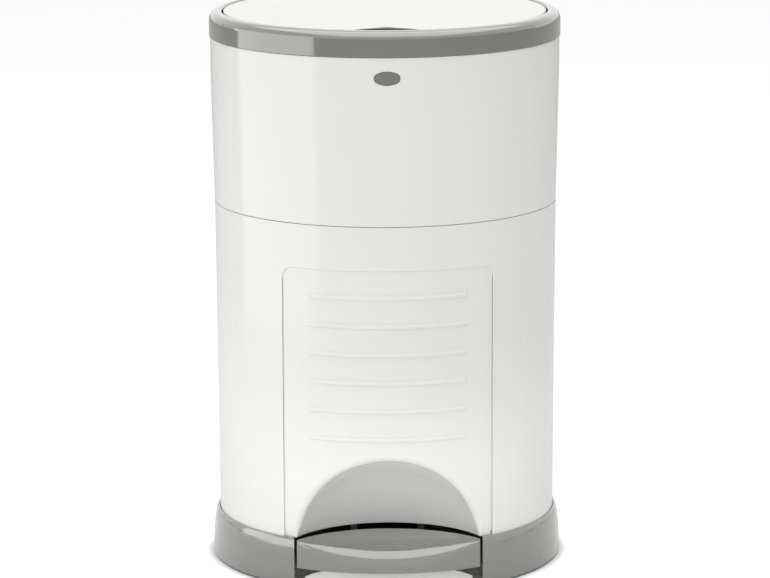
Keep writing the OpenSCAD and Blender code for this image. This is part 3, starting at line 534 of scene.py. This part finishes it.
print("columns", len(columns), "rows", len(rows))


# %% Wrap the ribs on to the panel
STRAIGHT_ROOM = 1.5


def bead(away, half):
    """Height of a rib's surface at a distance from its middle."""
    edge = half - abs(away)
    if edge <= 0:
        return 0.0
    if edge >= RIB_ROUND:
        return RIB_PROUD
    return RIB_PROUD - RIB_ROUND + math.sqrt(RIB_ROUND * RIB_ROUND - (RIB_ROUND - edge) ** 2)


def widest(z):
    """Half the width of the panel's grid at a height."""
    if z <= corner_low:
        return across_limit
    up = z - corner_low
    return PANEL_HALF - PANEL_CORNER + math.sqrt(max(corner_turn * corner_turn - up ** 2, 0))


def rib_place(x, z):
    inner = RIB_HALF_LENGTH + STRAIGHT_ROOM
    if abs(x) > inner:
        share = (abs(x) - inner) / (across_limit - inner)
        x = math.copysign(inner + share * (widest(z) - inner), x)
    proud = 0.0
    for height in RIB_HEIGHTS:
        rise = min(bead(z - height, RIB_HALF_WIDTH), bead(x, RIB_HALF_LENGTH))
        proud = max(proud, rise)
    return on_panel(x, z, proud)


def wrapped_grid(shape, across, up, place):
    """A grid made by the operator, each point then set to its place."""
    grid = bmesh.ops.create_grid(shape, x_segments=across - 1, y_segments=up - 1, size=1)
    for point in grid["verts"]:
        column = round((point.co.x + 1) / 2 * (across - 1))
        row = round((point.co.y + 1) / 2 * (up - 1))
        point.co = place(column, row)


new_front = bmesh.new()
new_front.faces.layers.int.new("round")
wrapped_grid(new_front, len(columns), len(rows), lambda i, j: rib_place(columns[i], rows[j]))
print("rib faces", len(new_front.faces))

# %% [markdown]
# The scoop is part of a sphere. Where it meets the panel, the moulding turns over in a soft
# round that narrows towards the lip. The second grid runs round this rim: its columns go from
# the panel's edge to the scoop, its rows go from the scoop's inside over the rim.

# %% Find the scoop's rim
LOW_LEVEL = CUT + 0.2
SIDE_POINTS, SEARCHES, ANGLE_SEARCHES = 14, 40, 30
LEAST_RIM, FIRST_GUESS = 40.0, math.radians(5)
side_path = [(across_limit, LOW_LEVEL + (GRID_LEVEL - LOW_LEVEL) * k / SIDE_POINTS)
             for k in range(SIDE_POINTS)]
rim_path = side_path + [(x, GRID_LEVEL) for x in reversed(columns)]
rim_path += [(-x, z) for x, z in reversed(side_path)]


def rim_distance(angle):
    """How far the scoop's rim lies from the scoop's middle, seen from the front."""
    low, high = LEAST_RIM, SCOOP_RADIUS
    for _ in range(SEARCHES):
        middle = (low + high) / 2
        spot = on_panel(middle * math.cos(angle), SCOOP_HEIGHT + middle * math.sin(angle))
        inside = middle ** 2 + (spot.y + SCOOP_FORWARD) ** 2 < SCOOP_RADIUS ** 2
        low, high = (middle, high) if inside else (low, middle)
    return low


lowest_rim = FIRST_GUESS
for _ in range(ANGLE_SEARCHES):
    lowest_rim = math.asin((LOW_LEVEL - SCOOP_HEIGHT) / rim_distance(lowest_rim))
lowest_out = math.atan2(LOW_LEVEL - SCOOP_HEIGHT, across_limit)
print("rim starts at", round(math.degrees(lowest_rim), 2), "degrees")

# %% Wrap the scoop and its rim
INSIDE_ROWS, RIM_ROWS, OUTSIDE_ROWS = 26, 8, 7
RIM_ROUND, RIM_LEAST, RIM_EASE = 5.0, 0.7, 9
RIM_PULL, SPREAD, MERGE = 0.72, 1.3, 0.004


def rim_angle(x, z):
    angle = math.atan2(z - SCOOP_HEIGHT, x)
    share = (angle - lowest_out) / (math.pi - 2 * lowest_out)
    return lowest_rim + share * (math.pi - 2 * lowest_rim)


def in_scoop(angle, polar):
    level, out = math.cos(polar), math.sin(polar)
    spot = Vector((out * math.cos(angle), level, out * math.sin(angle)))
    return Vector((0, -SCOOP_FORWARD, SCOOP_HEIGHT)) + spot * SCOOP_RADIUS


def held_up(spot):
    """Keep a point of the scoop above the lip."""
    if spot.z >= LOW_LEVEL:
        return spot
    flat = math.sqrt(SCOOP_RADIUS ** 2 - (LOW_LEVEL - SCOOP_HEIGHT) ** 2)
    way = Vector((spot.x, spot.y + SCOOP_FORWARD, 0)).normalized() * flat
    return Vector((way.x, way.y - SCOOP_FORWARD, LOW_LEVEL))


def scoop_place(i, j):
    """Where a grid point goes: inside the scoop, on its rim or on the panel."""
    x, z = rim_path[i]
    angle = rim_angle(x, z)
    reach = rim_distance(angle)
    rim = on_panel(reach * math.cos(angle), SCOOP_HEIGHT + reach * math.sin(angle))
    polar = math.acos((rim.y + SCOOP_FORWARD) / SCOOP_RADIUS)
    turn = RIM_LEAST + (RIM_ROUND - RIM_LEAST) * eased((rim.z - LOW_LEVEL) / RIM_EASE)
    outer = reach + turn
    height = max(SCOOP_HEIGHT + outer * math.sin(angle), LOW_LEVEL)
    start = on_panel(outer * math.cos(angle), height)
    end = held_up(in_scoop(angle, polar - turn / SCOOP_RADIUS))
    if j < INSIDE_ROWS:
        ring = math.sqrt(SCOOP_RADIUS ** 2 - end.x ** 2)
        top = math.atan2(end.z - SCOOP_HEIGHT, end.y + SCOOP_FORWARD)
        bottom = math.asin((LOW_LEVEL - SCOOP_HEIGHT) / ring)
        tilt = bottom + (top - bottom) * j / INSIDE_ROWS
        inwards, up = ring * math.cos(tilt), ring * math.sin(tilt)
        return Vector((end.x, inwards - SCOOP_FORWARD, SCOOP_HEIGHT + up))
    if j <= INSIDE_ROWS + RIM_ROWS:
        share = (j - INSIDE_ROWS) / RIM_ROWS
        pull = 2 * RIM_PULL * share * (1 - share)
        weight = (1 - share) ** 2 + pull + share ** 2
        spot = (end * (1 - share) ** 2 + rim * pull + start * share ** 2) / weight
        return Vector((spot.x, spot.y, max(spot.z, LOW_LEVEL)))
    share = ((j - INSIDE_ROWS - RIM_ROWS) / OUTSIDE_ROWS) ** SPREAD
    return on_panel(start.x + (x - start.x) * share, start.z + (z - start.z) * share)


wrapped_grid(new_front, len(rim_path), INSIDE_ROWS + RIM_ROWS + OUTSIDE_ROWS + 1, scoop_place)
bmesh.ops.remove_doubles(new_front, verts=new_front.verts, dist=MERGE)
bmesh.ops.recalc_face_normals(new_front, faces=new_front.faces)
facing = sum(f.normal.y * f.calc_area() for f in new_front.faces)
if facing > 0:
    bmesh.ops.reverse_faces(new_front, faces=new_front.faces)
print("new front faces", len(new_front.faces), "facing", round(facing))

# %% [markdown]
# The new front is bridged to the edge of the opening. The bridge is the soft step of the
# panel's outline. No edge may stay open, since a moulding is one closed skin.

# %% Join the new front to the bin and show it
for face in new_front.faces:
    face[new_front.faces.layers.int["round"]] = OWN_SHAPE
carrier = bpy.data.meshes.new("carrier")
new_front.to_mesh(carrier)
new_front.free()
bin_shape.from_mesh(carrier)
bpy.data.meshes.remove(carrier)
rims = [e for e in bin_shape.edges if e.is_boundary]
joint = bmesh.ops.bridge_loops(bin_shape, edges=rims)
for face in joint["faces"]:
    face[bin_shape.faces.layers.int["round"]] = OWN_SHAPE
open_edges = sum(1 for e in bin_shape.edges if not e.is_manifold)
bmesh.ops.scale(bin_shape, vec=(MM,) * 3, verts=bin_shape.verts)
print("open edges", open_edges)
show("lower_bin", bin_shape, "lower_bin", white, ["lower_housing"], like="lower_housing")

# %% [markdown]
# ## The other mouldings
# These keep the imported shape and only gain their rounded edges. The width of the round is the
# one that such a part has: a few tenths of a millimetre on a thin shell, more on a solid one.
# Three of them, the lid, the top ring and the pedal, also have a form that is finished here.


# %% Finish a piece and its first use, the upper housing
def finish(node, width, material, wider=(), change=None, after=None):
    shape = rounded_copy(node, width * MM, wider=wider, change=change)
    if after:
        after(shape)
    show(node + "_part", shape, body_of[node], material, [node], like=node)


finish("upper_housing", 0.35, white)

# %% [markdown]
# ## Lid
# At its front edge the lid has a notch for a fingertip. From the front it shows as a dark slot,
# because the lid's rim is undercut there. A Boolean with a finger-shaped cutter would leave
# slivers at the thin rim, so the points of the notch's own wall are moved instead.

# %% Undercut the lid's finger notch
NOTCH_CENTRE, NOTCH_BAND = Vector((0, -167.1 * MM)), (50.2 * MM, 52.5 * MM)
NOTCH_LEVELS, STEP_LEVEL = (439 * MM, 441.7 * MM), 441 * MM
CROWN_TOP, CROWN_FALL, LID_RADIUS, RIM_LEFT = 446, 4, 128.3 * MM, 0.15
UNDERCUT_REACH, UNDERCUT_RADIUS = 125.5 * MM, 56.4 * MM


def deeper_notch(shape):
    for point in shape.verts:
        place, height = point.co.xy, point.co.z
        away = (place - NOTCH_CENTRE).length
        in_band = place.y < 0 and NOTCH_BAND[0] < away < NOTCH_BAND[1]
        if in_band and NOTCH_LEVELS[0] < height < NOTCH_LEVELS[1]:
            if height > STEP_LEVEL:
                fall = CROWN_FALL * (place.length / LID_RADIUS) ** 2
                point.co.z = (CROWN_TOP - fall - RIM_LEFT) * MM
            elif place.length < UNDERCUT_REACH:
                inwards = UNDERCUT_RADIUS / away
                point.co.xy = NOTCH_CENTRE + (place - NOTCH_CENTRE) * inwards


finish("lid_panel", 0.6, lid_white, change=deeper_notch)

# %% [markdown]
# ## Base ring and top ring
# The top ring's outer shoulder is the widest round on the bin and mirrors the ceiling as a long
# bright band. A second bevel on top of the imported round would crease, so the points on that
# round are moved out to a wider circle. The edge of the bore gets a wider bevel of its own.

# %% Widen the top ring's shoulder and bore edge
RING_TOP, RING_RADIUS, CAD_ROUND, SHOULDER = 442.6 * MM, 139.8 * MM, 6 * MM, 8 * MM
SHOULDER_ROOM, ROUND_SHARE = MM / 50, 0.98
BORE_LEVEL, BORE_REACH, BORE_WIDTH, BORE_STEPS = 442 * MM, 129.6 * MM, 1.9 * MM, 5


def fuller_shoulder(shape):
    for point in shape.verts:
        reach = math.hypot(point.co.x, point.co.y)
        out, up = reach - (RING_RADIUS - CAD_ROUND), point.co.z - (RING_TOP - CAD_ROUND)
        near = out > -SHOULDER_ROOM and up > -SHOULDER_ROOM
        if near and math.hypot(out, up) > CAD_ROUND * ROUND_SHARE:
            turn = math.atan2(max(up, 0), max(out, 0))
            new_reach = RING_RADIUS - SHOULDER + SHOULDER * math.cos(turn)
            point.co.x *= new_reach / reach
            point.co.y *= new_reach / reach
            point.co.z = RING_TOP - SHOULDER + SHOULDER * math.sin(turn)


def bore_edge(edge):
    return all(v.co.z > BORE_LEVEL and v.co.xy.length < BORE_REACH for v in edge.verts)


finish("base_ring", 0.2, grey)
finish("top_ring", 0.3, grey, wider=[(bore_edge, BORE_WIDTH, BORE_STEPS)], after=fuller_shoulder)

# %% [markdown]
# ## Pedal
# The pedal slopes down to the front, and its front edge rolls over in a round that is deepest in
# the middle and runs out to nothing at the two ends, so a shoe finds no edge.
# A bevel has one width along an edge. Here the front is cut into small faces, and every point
# beyond the round is drawn back on to it.

# %% Reach of the pedal's corners and slope
END_FROM, END_FRONT, END_REACH = 60 * MM, -119 * MM, 138.2 * MM
WALL_LOW, WALL_HIGH = 16 * MM, 31 * MM
PEDAL_REACH, PEDAL_TOP, CURVE_FROM, CURVE_RADIUS = 140.5 * MM, 38 * MM, 112 * MM, 45.7 * MM


def longer_corners(shape):
    """Let the pedal's front wall reach down to the same height at its two ends."""
    low = [v for v in shape.verts
           if abs(v.co.x) > END_FROM and v.co.y < END_FRONT and v.co.xy.length > END_REACH
           and WALL_LOW < v.co.z < WALL_HIGH]
    around = {f for v in low for f in v.link_faces if len(f.verts) > 4}
    bmesh.ops.triangulate(shape, faces=list(around))
    for point in low:
        point.co.z = WALL_LOW


def pedal_height(y):
    """Height of the pedal's upper face, which falls towards the front."""
    forward = max(-y - CURVE_FROM, 0)
    return PEDAL_TOP - CURVE_RADIUS + math.sqrt(CURVE_RADIUS ** 2 - forward ** 2)


print("the upper face falls", round((PEDAL_TOP - pedal_height(-PEDAL_REACH)) / MM, 1), "mm")

# %% Roll the pedal's front edge over
PEDAL_HALF, FRONT_ROUND, LEAST_ROUND = 72 * MM, 17 * MM, 0.8 * MM
ON_SURFACE, FRONT_FROM, TURN_ROOM = 0.3 * MM, -110 * MM, 0.002
ACROSS, INWARD, UPRIGHT = range(-70, 71, 4), range(114, 140, 2), range(18, 38, 2)


def front_skin(shape):
    """The faces of the pedal's front wall and of the front part of its upper face."""
    skin = []
    for face in shape.faces:
        middle = face.calc_center_median()
        wall = abs(middle.xy.length - PEDAL_REACH) < ON_SURFACE and middle.y < 0
        top = abs(middle.z - pedal_height(middle.y)) < ON_SURFACE and middle.y < FRONT_FROM
        if wall or top:
            skin.append(face)
    return skin


def front_centre(way, turn):
    """Middle of the round, as reach and height, and the upper face's slope there."""
    edge = pedal_height(way.y * PEDAL_REACH)
    slope = (pedal_height(way.y * (PEDAL_REACH - MM)) - edge) / MM
    height = edge + slope * turn - turn * math.hypot(1, slope)
    return Vector((PEDAL_REACH - turn, height)), Vector((slope, 1))


def full_front(shape):
    longer_corners(shape)
    cuts = [((x * MM, 0, 0), (1, 0, 0)) for x in ACROSS]
    cuts += [((0, -y * MM, 0), (0, 1, 0)) for y in INWARD]
    cuts += [((0, 0, z * MM), (0, 0, 1)) for z in UPRIGHT]
    for place, across in cuts:
        skin = front_skin(shape)
        points, edges = {v for f in skin for v in f.verts}, {e for f in skin for e in f.edges}
        bmesh.ops.bisect_plane(shape, geom=list(points) + list(edges) + skin, dist=1e-6,
                               plane_co=place, plane_no=across)
    skin = front_skin(shape)
    turned = set()
    for point in {v for f in skin for v in f.verts}:
        reach = point.co.xy.length
        turn = FRONT_ROUND * (1 - (abs(point.co.x) / PEDAL_HALF) ** 2) + LEAST_ROUND
        way = point.co.xy / reach
        middle, upwards = front_centre(way, turn)
        off, level = Vector((reach, point.co.z)) - middle, Vector((1, 0))
        if off.x > 0 and off.y > 0:
            if off.angle(upwards) + off.angle(level) < upwards.angle(level) + TURN_ROOM:
                spot = middle + off.normalized() * turn
                point.co.xy, point.co.z = way * spot.x, spot.y
                turned.add(point)
    round_layer = shape.faces.layers.int["round"]
    for face in skin:
        if any(v in turned for v in face.verts):
            face[round_layer] = ROUND


finish("pedal", 0.8, grey, change=full_front)

# %% [markdown]
# ## Button, base and inner pieces
# The rest need no more than their edges rounded. Steel pins and screws get a narrow round, and
# rubber a wide one. The springs stay as imported, since their ends are squeezed when they work.

# %% Finish the pieces that only need round edges
for node, width, material in (
        ("release_button", 0.7, button_grey), ("base_plate", 0.3, plate_grey),
        ("rubber_feet", 0.4, rubber), ("funnel", 0.4, pale_grey),
        ("cartridge_tray", 0.3, inner_white), ("cartridge_case", 0.5, pale_blue),
        ("film_pack", 1.5, film), ("cutter_body", 0.5, orange), ("cutter_blade", 0.05, steel),
        ("latch_lever", 0.3, mid_nylon), ("lid_inner", 0.5, inner_white),
        ("lid_seal", 0.5, seal_grey), ("seam_seal", 0.4, seal_grey),
        ("flap_left", 0.3, mid_nylon), ("flap_right", 0.3, mid_nylon),
        ("pedal_lever", 0.4, dark_nylon), ("lower_push_rod", 0.3, inner_white),
        ("upper_push_rod", 0.3, inner_white), ("strike_plate", 0.2, steel),
        ("pedal_pin", 0.3, steel), ("body_hinge_pin", 0.2, steel), ("latch_pin", 0.2, steel),
        ("lid_hinge_pin", 0.2, steel), ("flap_pins", 0.2, steel), ("base_screws", 0.2, steel),
        ("lever_screws", 0.15, steel), ("tray_screws", 0.15, steel)):
    finish(node, width, material)

# %% Give the springs their steel
springs = ("pedal_spring", "latch_spring", "flap_springs")
for node in springs:
    coil = frame["nodes"][node]
    coil.data.materials.clear()
    coil.data.materials.append(steel)
print("springs", len(springs))

# %% [markdown]
# ## Floor
# The bin stands on a plain pale floor that runs up to white away from it. More lamps would
# bleach the bin. So the floor glows a little for the camera only, and not under the bin, where
# its contact shadow lies.

# %% Floor
FLOOR_SIZE, FLOOR_TONE, FLOOR_ROUGHNESS = 30, 0.9, 0.8
SHADOW_ENDS, GLOW_STARTS, FLOOR_GLOW = 0.140, 0.150, 0.5
floor_mesh = bpy.data.meshes.new("floor")
shape = bmesh.new()
bmesh.ops.create_grid(shape, x_segments=1, y_segments=1, size=FLOOR_SIZE)
shape.to_mesh(floor_mesh)
shape.free()
floor = bpy.data.objects.new("floor", floor_mesh)
bpy.context.scene.collection.objects.link(floor)
floor_material, tree, shader = new_material("floor")
shader.inputs["Base Color"].default_value = (FLOOR_TONE, FLOOR_TONE, FLOOR_TONE, 1)
shader.inputs["Roughness"].default_value = FLOOR_ROUGHNESS
shader.inputs["Specular IOR Level"].default_value = 0.0
path = tree.nodes.new("ShaderNodeLightPath")
place = tree.nodes.new("ShaderNodeTexCoord")
away = tree.nodes.new("ShaderNodeVectorMath")
away.operation = "LENGTH"
tree.links.new(place.outputs["Object"], away.inputs[0])
ring = tree.nodes.new("ShaderNodeMapRange")
ring.interpolation_type = "SMOOTHSTEP"
ring.inputs["From Min"].default_value = SHADOW_ENDS
ring.inputs["From Max"].default_value = GLOW_STARTS
ring.inputs["To Max"].default_value = FLOOR_GLOW
tree.links.new(away.outputs["Value"], ring.inputs["Value"])
glow = tree.nodes.new("ShaderNodeMath")
glow.operation = "MULTIPLY"
tree.links.new(path.outputs["Is Camera Ray"], glow.inputs[0])
tree.links.new(ring.outputs["Result"], glow.inputs[1])
shader.inputs["Emission Color"].default_value = (1, 1, 1, 1)
tree.links.new(glow.outputs["Value"], shader.inputs["Emission Strength"])
floor_mesh.materials.append(floor_material)
print("floor glow", FLOOR_GLOW, "from", GLOW_STARTS, "m")

# %% [markdown]
# ## Room and lamps
# The bin stands in a white room: the camera and the gloss see it at full white, while its light
# on the bin is about half, so that the lamps can shape the body.
# A wide softbox on the left gives the body its bright left third and the sharp band on the grey
# rings. A broad ceiling lights the lid and the shoulder, and two low lamps fill the scoop.

# %% Room
ROOM_LIGHT = 0.46
world = bpy.data.worlds.new("world")
bpy.context.scene.world = world
world.use_nodes = True
tree = world.node_tree
background = tree.nodes["Background"]
path = tree.nodes.new("ShaderNodeLightPath")
seen = tree.nodes.new("ShaderNodeMath")
seen.operation = "MAXIMUM"
tree.links.new(path.outputs["Is Camera Ray"], seen.inputs[0])
tree.links.new(path.outputs["Is Glossy Ray"], seen.inputs[1])
level = tree.nodes.new("ShaderNodeMapRange")
level.inputs["To Min"].default_value = ROOM_LIGHT
level.inputs["To Max"].default_value = 1.0
tree.links.new(seen.outputs["Value"], level.inputs["Value"])
background.inputs["Color"].default_value = (1, 1, 1, 1)
tree.links.new(level.outputs["Result"], background.inputs["Strength"])
print("room light", ROOM_LIGHT)


# %% Lamps
def area_light(name, at, target, size, brightness):
    """A rectangular lamp of a given brightness, which doesn't change when its size does."""
    data = bpy.data.lights.new(name, "AREA")
    data.shape = "RECTANGLE"
    data.size, data.size_y = size
    data.energy = brightness * math.pi * size[0] * size[1]
    lamp = bpy.data.objects.new(name, data)
    lamp.location = at
    lamp.visible_camera = False
    lamp.rotation_mode = "QUATERNION"
    lamp.rotation_quaternion = (Vector(target) - Vector(at)).to_track_quat("-Z", "Y")
    bpy.context.scene.collection.objects.link(lamp)
    return lamp


area_light("softbox_left", (-0.917, -0.255, 0.25), (0, -0.045, 0.25), (1.12, 0.48), 1.25)
area_light("ceiling", (0.2, -0.6, 1.94), (0.2, -0.6, 0.44), (3.0, 3.6), 1.15)
front_fill = area_light("front_fill", (0.0, -1.4, 0.18), (0, 0, 0.15), (1.8, 0.3), 1.1)
toe_light = area_light("toe_light", (0.0, -0.9, 0.03), (0, -0.12, 0.075), (0.9, 0.1), 0.28)
toe_light.data.spread = math.radians(14)
for lamp in (front_fill, toe_light):
    lamp.visible_glossy = False
print("lamps", len(bpy.data.lights))

# %% [markdown]
# ## Camera
# A long lens from three metres keeps the bin's sides almost upright.
# The camera looks down a little, so that the lid shows as a shallow oval.

# %% Camera
CAMERA_AT, LENS, SENSOR = (-0.0374, -3.0372, 0.8281), 179.5, 36
HEADING, PITCH, ROLL = 0.01214, 0.1992, 0.0039
camera_data = bpy.data.cameras.new("camera")
camera_data.lens = LENS
camera_data.sensor_width = SENSOR
camera_data.clip_start, camera_data.clip_end = 0.1, 100
camera = bpy.data.objects.new("camera", camera_data)
camera.matrix_world = (
    Matrix.Translation(CAMERA_AT)
    @ Matrix.Rotation(-HEADING, 4, "Z")
    @ Matrix.Rotation(math.pi / 2 - PITCH, 4, "X")
    @ Matrix.Rotation(-ROLL, 4, "Z")
)
bpy.context.scene.collection.objects.link(camera)
bpy.context.scene.camera = camera
bpy.context.scene.view_settings.view_transform = "Standard"
print("lens", LENS, "mm, looking down", round(math.degrees(PITCH), 1), "degrees")
